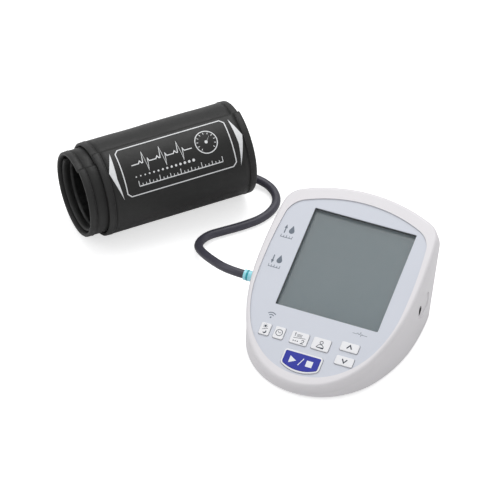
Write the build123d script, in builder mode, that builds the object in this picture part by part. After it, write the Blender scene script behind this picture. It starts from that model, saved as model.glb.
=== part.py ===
from build123d import *
from math import atan2, cos, radians, sin, tan
import os

os.makedirs("parts", exist_ok=True)

# Driving dimensions in millimetres and degrees
# Face of the monitor: a plate that rises towards the back
face_tilt = 21.0
window_height = 52.5
window_shift = 4.8
window_width = 84.4
window_length = 88.0
window_corner = 1.0

# Outlines are chains of tangent arcs, from the front round to the back
turn_angles = (37.0, 28.5, 21.5, 9.0, 60.0)
plate_front = 96.6
plate_radii = (52.0, 64.5, 99.0, 370.0, 19.0)
case_front = 105.7
case_radii = (52.5, 69.0, 150.0, 365.0, 18.5)
base_front = 95.2
base_radii = (57.0, 66.0, 130.0, 225.0, 17.0)

# Case shells
wall = 2.2
floor_thickness = 2.6
edge_break = 2.0
foot_height = 1.2
foot_radius = 5.0
parting_depth = 11.0
crest_height = 1.0
crest_inset = 1.0
rim_fillet = 2.6
plate_thickness = 1.0
shelf_thickness = 2.2
fit_gap = 0.3
slip_gap = 0.1

# Screws that hold the two shells together
screw_x = 55.8
screw_front_y = -38.0
screw_rear_y = 24.0
boss_radius = 3.4
screw_hole_radius = 1.3
screw_radius = 1.2
screw_head_radius = 2.4
screw_head_height = 1.8
screw_seat = 6.0
screw_bite = 5.0

# Keys: name, centre on the face, width, length
key_rise = 1.0
key_travel = 0.8
key_corner = 1.2
key_edge = 0.4
flange_width = 1.0
flange_thickness = 1.2
stem_radius = 1.5
stem_length = 0.9
start_y = -86.0
start_width = 28.8
start_side = 10.4
start_arc = 3.9
start_ring = 1.3
start_top_corner = 1.0
start_low_corner = 2.2
insert_depth = 1.6
insert_rise = 0.3
small_keys = {
    "light_key": (-36.7, -67.1, 8.2, 10.2),
    "clock_key": (-25.0, -67.1, 8.2, 10.2),
    "memory_key": (-8.4, -67.0, 14.0, 10.3),
    "id_key": (9.4, -66.9, 14.2, 10.2),
    "up_key": (31.3, -62.8, 14.6, 7.6),
    "down_key": (31.4, -75.0, 14.6, 7.6),
}

# Display
frame_wall = 3.8
frame_lip = 2.6
frame_depth = 4.2
glass_thickness = 2.2
glass_overlap = 2.3
lens_thickness = 1.0
lens_overlap = 1.1
backing_thickness = 0.8
zebra_width = 2.4
zebra_length = 76.0

# Main board and what it carries
board_depth = 8.5
board_thickness = 1.6
board_inset = 8.0
board_back = 50.0
mat_thickness = 0.8
mat_inset = 13.0
mat_back = -54.0
dome_radius = 2.6
dome_gap = 0.9
post_radius = 2.2
post_hole_radius = 0.9
board_posts = ((-47.0, -50.0), (-47.0, 44.0), (54.6, -14.0), (54.6, 40.0))
post_screw_head = 1.9
post_screw_height = 1.2

# Battery bay in the base
cell_radius = 7.1
cell_length = 49.5
cell_nub_radius = 2.7
cell_nub_length = 1.0
cell_pitch = 14.8
cell_count = 4
bay_slack = 3.6
bay_back = 40.0
bay_wall = 1.6
contact_thickness = 0.4
door_thickness = 1.8
door_side = 3.2
door_lead = 3.0
rail_width = 1.0
rail_height = 0.7
rail_rise = 0.6

# Pump, valve and air lines
motor_radius = 12.2
motor_length = 31.0
pump_radius = 12.8
pump_length = 24.0
pump_y = 27.0
pump_shift = -8.0
cradle_length = 22.0
cradle_base = 2.0
cradle_wall = 2.4
shaft_radius = 1.0
port_y = -8.0
port_height = 25.0
socket_radius = 5.0
socket_length = 14.0
socket_flange_radius = 7.0
socket_flange = 1.6
socket_seat = 3.0
nipple_radius = 2.4
nipple_length = 11.0
running_gap = 0.06
plug_radius = 4.25
plug_length = 10.5
ring_groove = 0.9
ring_section = 0.7
manifold_width = 9.0
manifold_length = 20.0
manifold_height = 11.0
valve_radius = 6.5
valve_length = 17.0
tube_radius = 1.9
sensor_tube_radius = 1.6

sensor_x = -30.0
sensor_y = -12.0
sensor_size = 10.0
sensor_height = 4.6
stub_height = 2.0
stub_spacing = 7.0

# Power inlet on the right side
jack_y = 1.2
jack_height = 29.0
jack_bore_radius = 2.8
jack_bore_depth = 9.0
jack_pin_radius = 0.9
jack_nose_radius = 4.0
jack_body = 11.0
jack_length = 13.0
scoop_width = 22.0
scoop_height = 16.0
scoop_y = 8.2
scoop_z = 29.6
scoop_corner = 6.0
scoop_depth = 1.0

# Cuff roll: spiral turns of one padded band
cuff_angle = 47.4
cuff_x = -136.5
cuff_y = 118.0
cuff_radius = 40.0
cuff_width = 128.0
band_thickness = 2.6
turn_gap = 0.8
free_edge_angle = 8.0
turn_overlap = 20.0
inner_shift = 15.0
core_shift = 12.0
core_end_angle = 120.0
binding_width = 6.0
layer_gap = 0.1
cover_thickness = 0.8
bladder_thickness = 0.8
bladder_margin = 9.0
hook_width = 90.0
hook_angle = 70.0
hook_thickness = 0.5
cuff_port_radius = 4.0
cuff_port_length = 3.0
cuff_port_offset = 2.0

# Air hose
hose_radius = 3.5


# Planes and places worked out from the dimensions
def chain_reach(front, radii):
    """Greatest half width and rear reach of an outline."""
    x, y, heading = 0.0, -front, 0.0
    widest = 0.0
    for radius, angle in zip(radii, turn_angles):
        after = heading + radians(angle)
        widest = max(widest, x + radius * (1 - sin(heading)) if heading < radians(90) <= after else x)
        x += radius * (sin(after) - sin(heading))
        y += radius * (cos(heading) - cos(after))
        heading = after
    rear_radius = x / sin(heading)
    return widest, y + rear_radius * (cos(heading) + 1)


case_half_width, case_rear = chain_reach(case_front, case_radii)
base_half_width, base_rear = chain_reach(base_front, base_radii)
tilt = radians(face_tilt)
turn = radians(cuff_angle)
spiral_step = (band_thickness + turn_gap) / 2
left_reach = cuff_x - (cuff_width + inner_shift) * cos(turn) - (cuff_radius - 3 * spiral_step) * sin(turn)
right_reach = max(case_half_width, base_half_width)
back_reach = cuff_y + (cuff_radius - spiral_step) * cos(turn)
# the rim's rounded edge leans out over the base at the front
rim_lean = atan2(crest_inset, parting_depth + crest_height)
rim_drop = crest_height - rim_fillet
rim_line = case_front - crest_inset * (rim_drop + parting_depth) / (parting_depth + crest_height)
front_reach = (rim_line - rim_fillet / cos(rim_lean)) * cos(tilt) + rim_drop * sin(tilt) + rim_fillet
unit_x = -(left_reach + right_reach) / 2
unit_y = (front_reach - back_reach) / 2

base = Plane((unit_x, unit_y, 0))
face = Plane(
    origin=(unit_x, unit_y, window_height),
    x_dir=(1, 0, 0),
    z_dir=(0, -sin(tilt), cos(tilt)),
)
case_floor = base.offset(foot_height)
floor_top = case_floor.offset(floor_thickness)
parting = face.offset(-parting_depth)
shelf_top = -plate_thickness
shelf_under = shelf_top - shelf_thickness
roll = Plane(
    origin=(unit_x + cuff_x, unit_y + cuff_y, cuff_radius),
    x_dir=(-sin(turn), cos(turn), 0),
    z_dir=(cos(turn), sin(turn), 0),
)


def parting_height(y):
    """Height of the parting plane above the table at a distance y behind the window's centre."""
    return window_height + (y - parting_depth * sin(tilt)) * tan(tilt) - parting_depth * cos(tilt)


# Shapes that several pieces share
def outline(front, radii, inset=0.0):
    """Closed outline of tangent arcs, moved inwards by inset all round."""
    with BuildLine() as line:
        point = Vector(0, inset - front)
        heading = Vector(1, 0)
        for radius, angle in zip(radii, turn_angles):
            arc = JernArc(point, heading, radius - inset, angle)
            point = arc @ 1
            heading = arc % 1
        rest = 180 - sum(turn_angles)
        JernArc(point, heading, point.X / sin(radians(rest)), rest)
        mirror(about=Plane.YZ)
    return line.edges()


def lower_skin(inset, low, break_height):
    """Solid inside the lower case's walls: upright sides under the tilted parting plane."""
    with BuildPart() as skin:
        if break_height:
            with BuildSketch(low):
                make_face(outline(base_front, base_radii, inset + break_height))
        with BuildSketch(low.offset(break_height)):
            make_face(outline(base_front, base_radii, inset))
        with BuildSketch(parting):
            make_face(outline(case_front, case_radii, inset))
        loft(ruled=True)
    return skin.part


def start_shape(grow):
    """Start key seen from above: straight top, short sides and a bowed front edge."""
    half = start_width / 2 + grow
    top = start_y + (start_side + start_arc) / 2 + grow
    low = top - start_side - 1.3 * grow
    with BuildSketch() as shape:
        with BuildLine():
            side = Polyline((-half, low), (-half, top), (half, top), (half, low))
            ThreePointArc(side @ 1, (0, low - start_arc - 0.7 * grow), side @ 0)
        make_face()
        fillet(shape.vertices().group_by(Axis.Y)[-1], start_top_corner + grow)
        fillet(shape.vertices().group_by(Axis.Y)[0], start_low_corner + grow)
    return shape.sketch


def spiral_band(first_half, halves, outer_depth, inner_depth, start_trim=0.0, end_trim=0.0):
    """Closed section of a band that winds inwards by half a pitch in each half turn."""
    outer = []
    inner = []
    for half in range(first_half, first_half + halves):
        centre = (0, -spiral_step * (half % 2))
        begin = 90 + 180 * (half % 2)
        size = 180.0
        if half == first_half:
            begin += start_trim
            size -= start_trim
        if half == first_half + halves - 1:
            size -= end_trim
        radius = cuff_radius - spiral_step * half
        outer.append((centre, radius - outer_depth, begin, size))
        inner.append((centre, radius - inner_depth, begin, size))
    with BuildLine() as line:
        outer_arcs = [CenterArc(*values) for values in outer]
        inner_arcs = [CenterArc(*values) for values in inner]
        Line(outer_arcs[0] @ 0, inner_arcs[0] @ 0)
        Line(outer_arcs[-1] @ 1, inner_arcs[-1] @ 1)
    return line.edges()


def save(piece, name):
    """Label a finished piece and write it."""
    piece.part.label = name
    export_step(piece.part, f"parts/{name}.step")


# Battery bay measures
bay_width = cell_count * cell_pitch + 1.0
bay_length = cell_length + cell_nub_length + bay_slack
bay_front = bay_back - bay_length
bay_low = foot_height + door_thickness + fit_gap
bay_roof = bay_low + 2 * cell_radius + 1.0
door_width = bay_width + 2 * door_side
door_front = bay_front - door_lead
cell_height = bay_low + cell_radius + 0.2
bay_center_y = (bay_front + bay_back) / 2
cradle_low = bay_roof + bay_wall
pump_height = cradle_low + cradle_base + pump_radius
wall_x = base_half_width

screw_points = [
    (screw_x, screw_front_y),
    (-screw_x, screw_front_y),
    (screw_x, screw_rear_y),
    (-screw_x, screw_rear_y),
]

# Bottom case: open shell with battery bay, screw bosses, inlet pocket and air port
with BuildPart() as bottom_case:
    add(lower_skin(0.0, case_floor, edge_break))
    add(lower_skin(wall, floor_top, 0.0), mode=Mode.SUBTRACT)
    # walls and roof of the battery bay
    with BuildSketch(case_floor):
        with Locations((0, bay_center_y)):
            Rectangle(bay_width + 2 * bay_wall, bay_length + 2 * bay_wall)
    extrude(amount=bay_roof + bay_wall - foot_height)
    # bosses stand on the floor and end at the parting plane
    with BuildSketch(case_floor):
        with Locations(*screw_points):
            Circle(boss_radius)
    extrude(amount=window_height)
    split(bisect_by=parting, keep=Keep.BOTTOM)
    # post under the air manifold and rib under the power inlet
    with BuildSketch(case_floor):
        with Locations((-(wall_x - socket_length - manifold_width / 2 - 3), port_y)):
            Rectangle(manifold_width - 2, manifold_length - 4)
    extrude(amount=port_height - manifold_height / 2 - foot_height)
    with BuildSketch(case_floor):
        with Locations((wall_x - scoop_depth - jack_length / 2 - 1.4, jack_y)):
            Rectangle(jack_length - 2, 2.4)
    extrude(amount=jack_height - jack_body / 2 - foot_height)
    # bay opening and door seat with its side grooves
    with BuildSketch(base):
        with Locations((0, bay_center_y)):
            Rectangle(bay_width, bay_length)
    extrude(amount=bay_roof, mode=Mode.SUBTRACT)
    with BuildSketch(base):
        with Locations((0, door_front - fit_gap)):
            Rectangle(door_width + 2 * fit_gap, 2 * base_rear, align=(Align.CENTER, Align.MIN))
    extrude(amount=foot_height + door_thickness + slip_gap, mode=Mode.SUBTRACT)
    with BuildSketch(base.offset(foot_height + rail_rise - slip_gap)):
        with Locations((0, door_front - fit_gap)):
            Rectangle(
                door_width + 2 * rail_width + 2 * fit_gap, 2 * base_rear, align=(Align.CENTER, Align.MIN)
            )
    extrude(amount=rail_height + 2 * slip_gap, mode=Mode.SUBTRACT)
    # scooped pocket and hole of the power inlet
    pocket = Plane(
        origin=base.from_local_coords((wall_x - scoop_depth, scoop_y, scoop_z)),
        x_dir=(0, 1, 0),
        z_dir=(1, 0, 0),
    )
    with BuildSketch(pocket):
        RectangleRounded(scoop_width, scoop_height, scoop_corner)
    extrude(amount=3 * scoop_depth, taper=-20, mode=Mode.SUBTRACT)
    with BuildSketch(pocket.offset(-wall)):
        with Locations((jack_y - scoop_y, jack_height - scoop_z)):
            Circle(jack_nose_radius + fit_gap)
    extrude(amount=2 * wall, mode=Mode.SUBTRACT)
    # hole of the air port in the left wall
    port = Plane(
        origin=base.from_local_coords((-wall_x, port_y, port_height)),
        x_dir=(0, 1, 0),
        z_dir=(-1, 0, 0),
    )
    with BuildSketch(port):
        Circle(socket_radius + slip_gap)
    extrude(amount=2 * wall, both=True, mode=Mode.SUBTRACT)
    # screw clearance holes with deep seats for the heads
    for x, y in screw_points:
        seat = parting_height(y) - screw_seat
        with BuildSketch(base):
            with Locations((x, y)):
                Circle(screw_hole_radius)
        extrude(amount=2 * window_height, mode=Mode.SUBTRACT)
        with BuildSketch(base):
            with Locations((x, y)):
                Circle(screw_head_radius + fit_gap / 2)
        extrude(amount=seat, mode=Mode.SUBTRACT)
save(bottom_case, "bottom_case")

# Top case: rounded rim, seat for the plate, shelf with the window and key openings
with BuildPart() as top_skin:
    with BuildSketch(parting):
        make_face(outline(case_front, case_radii))
    with BuildSketch(face.offset(crest_height)):
        make_face(outline(case_front, case_radii, crest_inset))
    loft(ruled=True)
    rim_edges = top_skin.edges().filter_by(
        lambda edge: abs(face.to_local_coords(edge.center()).Z - crest_height) < 0.01
    )
    fillet(rim_edges, rim_fillet)

with BuildPart() as top_case:
    add(top_skin.part)
    with BuildSketch(parting):
        make_face(outline(case_front, case_radii, wall))
    with BuildSketch(face.offset(shelf_under)):
        make_face(outline(case_front, case_radii, wall))
    loft(ruled=True, mode=Mode.SUBTRACT)
    # screw bosses come down to the parting plane
    with BuildSketch(base):
        with Locations(*screw_points):
            Circle(boss_radius)
    extrude(amount=2 * window_height)
    split(bisect_by=parting, keep=Keep.TOP)
    add(top_skin.part, mode=Mode.INTERSECT)
    # posts that carry the board
    with BuildSketch(face.offset(-board_depth)):
        with Locations(*board_posts):
            Circle(post_radius)
    extrude(amount=board_depth + shelf_under + slip_gap)
    with BuildSketch(face.offset(-board_depth)):
        with Locations(*board_posts):
            Circle(post_hole_radius)
    extrude(amount=board_depth + shelf_under, mode=Mode.SUBTRACT)
    # seat of the plate
    with BuildSketch(face.offset(shelf_top)):
        make_face(outline(plate_front, plate_radii, -slip_gap))
    extrude(amount=plate_thickness + 2 * crest_height, mode=Mode.SUBTRACT)
    # openings in the shelf for the display frame and the keys
    with BuildSketch(face.offset(shelf_under - slip_gap)):
        with Locations((window_shift, 0)):
            Rectangle(window_width + 2 * frame_wall + 2 * fit_gap, window_length + 2 * frame_wall + 2 * fit_gap)
        for x, y, width, length in small_keys.values():
            with Locations((x, y)):
                RectangleRounded(width + 2 * fit_gap, length + 2 * fit_gap, key_corner + fit_gap)
        add(start_shape(start_ring + fit_gap))
    extrude(amount=shelf_thickness + 2 * slip_gap, mode=Mode.SUBTRACT)
    # pilot holes
    for x, y in screw_points:
        low = parting_height(y) - 1
        with BuildSketch(base.offset(low)):
            with Locations((x, y)):
                Circle(screw_radius)
        extrude(amount=screw_bite + 2, mode=Mode.SUBTRACT)
save(top_case, "top_case")

# Face panel: thin plate with the window and the key openings
with BuildPart() as face_panel:
    with BuildSketch(face):
        make_face(outline(plate_front, plate_radii))
        with Locations((window_shift, 0)):
            RectangleRounded(window_width, window_length, window_corner, mode=Mode.SUBTRACT)
        for x, y, width, length in small_keys.values():
            with Locations((x, y)):
                RectangleRounded(
                    width + 2 * fit_gap, length + 2 * fit_gap, key_corner + fit_gap, mode=Mode.SUBTRACT
                )
        add(start_shape(start_ring + fit_gap), mode=Mode.SUBTRACT)
    extrude(amount=-plate_thickness)
save(face_panel, "face_panel")

# Keys: cap, retaining flange under the shelf and a stem above its dome
flange_top = shelf_under - fit_gap
flange_low = flange_top - flange_thickness
for name, (x, y, width, length) in small_keys.items():
    with BuildPart() as key:
        with BuildSketch(face.offset(flange_low)):
            with Locations((x, y)):
                RectangleRounded(width + 2 * flange_width, length + 2 * flange_width, key_corner)
        extrude(amount=flange_thickness)
        with BuildSketch(face.offset(flange_top)):
            with Locations((x, y)):
                RectangleRounded(width, length, key_corner)
        extrude(amount=key_rise - flange_top)
        crown = key.faces().sort_by(lambda item: face.to_local_coords(item.center()).Z)[-1]
        fillet(crown.edges(), key_edge)
        with BuildSketch(face.offset(flange_low - stem_length)):
            with Locations((x, y)):
                Circle(stem_radius)
        extrude(amount=stem_length)
    save(key, name)

# Start key: white ring and body with a pocket for the coloured insert
with BuildPart() as start_key:
    with BuildSketch(face.offset(flange_low)):
        add(start_shape(start_ring + flange_width))
    extrude(amount=flange_thickness)
    with BuildSketch(face.offset(flange_top)):
        add(start_shape(start_ring))
    extrude(amount=key_rise - flange_top)
    crown = start_key.faces().sort_by(lambda item: face.to_local_coords(item.center()).Z)[-1]
    fillet(crown.edges(), key_edge)
    with BuildSketch(face.offset(key_rise - insert_depth)):
        add(start_shape(0.0))
    extrude(amount=2 * insert_depth, mode=Mode.SUBTRACT)
    with BuildSketch(face.offset(flange_low - stem_length)):
        with Locations((-8, start_y), (8, start_y)):
            Circle(stem_radius)
    extrude(amount=stem_length)
save(start_key, "start_key")

with BuildPart() as start_key_insert:
    with BuildSketch(face.offset(key_rise - insert_depth)):
        add(start_shape(-slip_gap))
    extrude(amount=insert_depth + insert_rise)
    crown = start_key_insert.faces().sort_by(lambda item: face.to_local_coords(item.center()).Z)[-1]
    fillet(crown.edges(), key_edge)
save(start_key_insert, "start_key_insert")

# Display: clear window, dark frame, glass, reflector and contact strip
frame_top = shelf_top - slip_gap
glass_top = frame_top - frame_depth + 1.2
lens_top = frame_top - 0.1
frame_low = -board_depth + 0.6
with BuildPart() as lcd_frame:
    with BuildSketch(face.offset(frame_low)):
        with Locations((window_shift, 0)):
            Rectangle(window_width + 2 * frame_wall, window_length + 2 * frame_wall)
            Rectangle(window_width + 0.4, window_length + 0.4, mode=Mode.SUBTRACT)
    extrude(amount=frame_top - frame_low)
    with BuildSketch(face.offset(frame_low)):
        with Locations((window_shift, 0)):
            Rectangle(
                window_width + 2 * glass_overlap + 2 * fit_gap, window_length + 2 * glass_overlap + 2 * fit_gap
            )
    extrude(amount=glass_top - frame_low, mode=Mode.SUBTRACT)
    with BuildSketch(face.offset(lens_top - lens_thickness)):
        with Locations((window_shift, 0)):
            Rectangle(
                window_width + 2 * lens_overlap + fit_gap, window_length + 2 * lens_overlap + fit_gap
            )
    extrude(amount=lens_thickness + 1, mode=Mode.SUBTRACT)
save(lcd_frame, "lcd_frame")

with BuildPart() as display_window:
    with BuildSketch(face.offset(lens_top - lens_thickness)):
        with Locations((window_shift, 0)):
            RectangleRounded(window_width + 2 * lens_overlap, window_length + 2 * lens_overlap, window_corner)
    extrude(amount=lens_thickness)
save(display_window, "display_window")

with BuildPart() as lcd_glass:
    with BuildSketch(face.offset(glass_top)):
        with Locations((window_shift, 0)):
            Rectangle(window_width + 2 * glass_overlap, window_length + 2 * glass_overlap)
    extrude(amount=-glass_thickness)
save(lcd_glass, "lcd_glass")

zebra_y = -window_length / 2 + zebra_width
with BuildPart() as lcd_reflector:
    with BuildSketch(face.offset(glass_top - glass_thickness)):
        with Locations((window_shift, zebra_width)):
            Rectangle(window_width, window_length - 2 * zebra_width)
    extrude(amount=-backing_thickness)
save(lcd_reflector, "lcd_reflector")

with BuildPart() as zebra_strip:
    with BuildSketch(face.offset(-board_depth)):
        with Locations((window_shift, zebra_y - 1.6)):
            Rectangle(zebra_length, zebra_width)
    extrude(amount=board_depth + glass_top - glass_thickness)
save(zebra_strip, "zebra_strip")

# Main board with notches round the screw bosses
board_bosses = [
    face.to_local_coords(base.from_local_coords((x, y, parting_height(y) + 2))) for x, y in screw_points
]
with BuildPart() as main_board:
    with BuildSketch(face.offset(-board_depth)):
        make_face(outline(case_front, case_radii, board_inset))
        with Locations((0, board_back)):
            Rectangle(
                4 * case_half_width, case_rear, align=(Align.CENTER, Align.MIN), mode=Mode.SUBTRACT
            )
        with Locations(*[(point.X, point.Y) for point in board_bosses]):
            Circle(boss_radius + 1.2, mode=Mode.SUBTRACT)
        with Locations(*board_posts):
            Circle(post_hole_radius + 0.2, mode=Mode.SUBTRACT)
    extrude(amount=-board_thickness)
save(main_board, "main_board")

# Rubber keypad mat with a dome under each key
dome_points = [(x, y) for x, y, width, length in small_keys.values()] + [(-8, start_y), (8, start_y)]
dome_height = board_depth + flange_low - stem_length - dome_gap
with BuildPart() as keypad_mat:
    with BuildSketch(face.offset(-board_depth)):
        make_face(outline(case_front, case_radii, mat_inset))
        with Locations((0, mat_back)):
            Rectangle(
                4 * case_half_width, 2 * case_rear, align=(Align.CENTER, Align.MIN), mode=Mode.SUBTRACT
            )
    extrude(amount=mat_thickness)
    with BuildSketch(face.offset(-board_depth)):
        with Locations(*dome_points):
            Circle(dome_radius)
    extrude(amount=dome_height, taper=15)
save(keypad_mat, "keypad_mat")

# Pieces on the underside of the board
board_under = face.offset(-board_depth - board_thickness)
with BuildPart() as board_chips:
    with BuildSketch(board_under):
        with Locations((10, -40)):
            Rectangle(14, 14)
        with Locations((30, -38), (-12, -52)):
            Rectangle(8, 5)
    extrude(amount=-1.6)
    with BuildSketch(board_under):
        with Locations((44, 20), (44, 8)):
            Circle(3.5)
    extrude(amount=-6.0)
save(board_chips, "board_chips")

with BuildPart() as radio_module:
    with BuildSketch(board_under):
        with Locations((-38, -52)):
            Rectangle(12, 16)
    extrude(amount=-0.8)
    with BuildSketch(board_under.offset(-0.8)):
        with Locations((-38, -54)):
            RectangleRounded(10, 10, 0.8)
    extrude(amount=-1.6)
save(radio_module, "radio_module")

with BuildPart() as buzzer:
    with BuildSketch(board_under):
        with Locations((-20, -30)):
            Circle(6.5)
    extrude(amount=-4.0)
    with BuildSketch(board_under.offset(-4.0)):
        with Locations((-20, -30)):
            Circle(1.2)
    extrude(amount=1.5, mode=Mode.SUBTRACT)
save(buzzer, "buzzer")

with BuildPart() as pressure_sensor:
    with BuildSketch(board_under):
        with Locations((sensor_x, sensor_y)):
            Rectangle(sensor_size, sensor_size)
    extrude(amount=-sensor_height)
    sensor_side = Plane(
        origin=board_under.from_local_coords((sensor_x - sensor_size / 2, sensor_y, -0.75 * sensor_height)),
        x_dir=(0, 1, 0),
        z_dir=(-1, 0, 0),
    )
    with BuildSketch(sensor_side):
        Circle(1.6)
    extrude(amount=1.5)
save(pressure_sensor, "pressure_sensor")

with BuildPart() as board_screws:
    with BuildSketch(board_under):
        with Locations(*board_posts):
            Circle(post_screw_head)
    extrude(amount=-post_screw_height)
    with BuildSketch(board_under):
        with Locations(*board_posts):
            Circle(post_hole_radius - slip_gap / 2)
    extrude(amount=board_thickness + 4.0)
save(board_screws, "board_screws")

# Case screws: pan head in its deep seat, shank into the upper boss
with BuildPart() as case_screws:
    for x, y in screw_points:
        seat = parting_height(y) - screw_seat
        with BuildSketch(base.offset(seat - screw_head_height)):
            with Locations((x, y)):
                Circle(screw_head_radius)
        extrude(amount=screw_head_height)
        with BuildSketch(base.offset(seat)):
            with Locations((x, y)):
                Circle(screw_radius - slip_gap / 2)
        extrude(amount=screw_seat + screw_bite - 1)
save(case_screws, "case_screws")

# Rubber feet under the four corners of the base
foot_points = [(44, -52), (-44, -52), (43, 24), (-43, 24)]
with BuildPart() as rubber_feet:
    with BuildSketch(base):
        with Locations(*foot_points):
            Circle(foot_radius)
    extrude(amount=foot_height)
save(rubber_feet, "rubber_feet")

# Battery door: slides out to the back on two side rails
with BuildPart() as battery_door:
    add(lower_skin(0.0, case_floor, edge_break))
    with BuildSketch(base):
        with Locations((0, door_front)):
            Rectangle(door_width, 2 * base_rear, align=(Align.CENTER, Align.MIN))
    extrude(amount=foot_height + door_thickness, mode=Mode.INTERSECT)
    with BuildSketch(base.offset(foot_height + rail_rise)):
        with Locations((0, door_front)):
            Rectangle(door_width + 2 * rail_width, bay_length, align=(Align.CENTER, Align.MIN))
    extrude(amount=rail_height)
    # finger grooves
    with BuildSketch(base.offset(foot_height)):
        with Locations(*[(0, bay_back - 6 - 3 * step) for step in range(4)]):
            RectangleRounded(18, 1.2, 0.55)
    extrude(amount=0.5, mode=Mode.SUBTRACT)
save(battery_door, "battery_door")

# Four cells side by side, turned head to tail
cell_x = [(index - (cell_count - 1) / 2) * cell_pitch for index in range(cell_count)]
cell_start = bay_front + bay_slack / 2
with BuildPart() as aa_cells:
    for index, x in enumerate(cell_x):
        nub_end = cell_start + cell_length if index % 2 == 0 else cell_start
        body_start = cell_start if index % 2 == 0 else cell_start + cell_nub_length
        side = Plane(
            origin=base.from_local_coords((x, body_start, cell_height)), x_dir=(1, 0, 0), z_dir=(0, 1, 0)
        )
        with BuildSketch(side):
            Circle(cell_radius)
        extrude(amount=cell_length)
        nub = Plane(
            origin=base.from_local_coords((x, nub_end, cell_height)), x_dir=(1, 0, 0), z_dir=(0, 1, 0)
        )
        with BuildSketch(nub):
            Circle(cell_nub_radius)
        extrude(amount=cell_nub_length)
save(aa_cells, "aa_cells")

# Contact leaves: a bowed strip for each cell end
leaf_depth = bay_slack / 2 - 0.1
with BuildPart() as battery_contacts:
    for x in cell_x:
        for wall_y, inward in ((bay_front, 1), (bay_back, -1)):
            leaf = Plane(
                origin=base.from_local_coords((x - 3, wall_y, cell_height)), x_dir=(0, inward, 0), z_dir=(1, 0, 0)
            )
            if inward < 0:
                leaf = Plane(
                    origin=base.from_local_coords((x + 3, wall_y, cell_height)),
                    x_dir=(0, inward, 0),
                    z_dir=(-1, 0, 0),
                )
            with BuildSketch(leaf):
                with BuildLine():
                    outer = ThreePointArc((0.05, -5), (leaf_depth, 0), (0.05, 5))
                    inner = ThreePointArc((0.05, -4), (leaf_depth - contact_thickness, 0), (0.05, 4))
                    Line(outer @ 0, inner @ 0)
                    Line(outer @ 1, inner @ 1)
                make_face()
            extrude(amount=6)
save(battery_contacts, "battery_contacts")

# Pump: motor can, diaphragm head and rubber cradle on the bay's roof
pump_axis = Plane(
    origin=base.from_local_coords((pump_shift, pump_y, pump_height)), x_dir=(0, 1, 0), z_dir=(1, 0, 0)
)
with BuildPart() as pump_motor:
    with BuildSketch(pump_axis):
        Circle(motor_radius)
    extrude(amount=motor_length)
    fillet(pump_motor.edges().group_by(Axis.X)[-1], 1.5)
    with BuildSketch(pump_axis.offset(motor_length)):
        Circle(4.0)
    extrude(amount=2.0)
save(pump_motor, "pump_motor")

with BuildPart() as pump_head:
    with BuildSketch(pump_axis):
        RectangleRounded(2 * pump_radius, 2 * pump_radius, 6)
    extrude(amount=-pump_length * 0.55)
    with BuildSketch(pump_axis.offset(-pump_length * 0.55)):
        Circle(pump_radius)
    extrude(amount=-pump_length * 0.45)
    with BuildSketch(pump_axis.offset(-pump_length)):
        with Locations((-5, 2)):
            Circle(tube_radius)
    extrude(amount=-5.0)
save(pump_head, "pump_head")

with BuildPart() as pump_cradle:
    with BuildSketch(pump_axis.offset(3)):
        with Locations((0, -pump_radius - cradle_base)):
            Rectangle(2 * motor_radius + 2 * cradle_wall, pump_radius, align=(Align.CENTER, Align.MIN))
        Circle(motor_radius + slip_gap, mode=Mode.SUBTRACT)
    extrude(amount=cradle_length)
save(pump_cradle, "pump_cradle")

# Air manifold behind the socket, with the exhaust valve on its rear end
manifold_x = -(wall_x - socket_length - manifold_width / 2 - 3)
with BuildPart() as air_manifold:
    with BuildSketch(base.offset(port_height - manifold_height / 2)):
        with Locations((manifold_x, port_y)):
            RectangleRounded(manifold_width, manifold_length, 1.5)
    extrude(amount=manifold_height)
    with BuildSketch(base.offset(port_height + manifold_height / 2)):
        with Locations((manifold_x, port_y + stub_spacing), (manifold_x, port_y)):
            Circle(tube_radius)
    extrude(amount=stub_height)
save(air_manifold, "air_manifold")

valve_plane = Plane(
    origin=base.from_local_coords((manifold_x, port_y + manifold_length / 2, port_height)),
    x_dir=(1, 0, 0),
    z_dir=(0, 1, 0),
)
with BuildPart() as exhaust_valve:
    with BuildSketch(valve_plane):
        Circle(3.0)
    extrude(amount=2.0)
    with BuildSketch(valve_plane.offset(2.0)):
        Circle(valve_radius)
    extrude(amount=valve_length)
    with BuildSketch(valve_plane.offset(2.0 + valve_length)):
        Circle(2.0)
    extrude(amount=2.5)
save(exhaust_valve, "exhaust_valve")

# Air socket in the left wall
with BuildPart() as air_socket:
    with BuildSketch(port.offset(-socket_length)):
        Circle(socket_radius)
    extrude(amount=socket_length)
    with BuildSketch(port.offset(-socket_seat)):
        Circle(socket_flange_radius)
    extrude(amount=-socket_flange)
    with BuildSketch(port.offset(-socket_length)):
        Circle(tube_radius + 0.6)
    extrude(amount=-(wall_x + manifold_x - manifold_width / 2 - socket_length))
    with BuildSketch(port):
        Circle(nipple_radius + running_gap)
    extrude(amount=-(nipple_length + 1), mode=Mode.SUBTRACT)
save(air_socket, "air_socket")

# Air plug on the hose: collar with an O-ring, nipple inside the socket
with BuildPart() as air_plug:
    with BuildSketch(port.offset(slip_gap)):
        Circle(plug_radius)
    extrude(amount=plug_length - slip_gap)
    outer_rim = air_plug.edges().sort_by(Axis.X)[0]
    fillet(outer_rim, 0.5)
    with BuildSketch(port.offset(slip_gap)):
        Circle(nipple_radius)
    extrude(amount=-(nipple_length + slip_gap))
    groove = port.offset(plug_length * 0.62)
    with BuildSketch(groove):
        Circle(plug_radius + 1)
        Circle(plug_radius - ring_groove, mode=Mode.SUBTRACT)
    extrude(amount=1.6, both=False, mode=Mode.SUBTRACT)
save(air_plug, "air_plug")

with BuildPart() as plug_o_ring:
    with BuildSketch(groove.offset(0.1)):
        Circle(plug_radius + 0.1)
        Circle(plug_radius - ring_groove, mode=Mode.SUBTRACT)
    extrude(amount=1.4)
save(plug_o_ring, "plug_o_ring")

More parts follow.
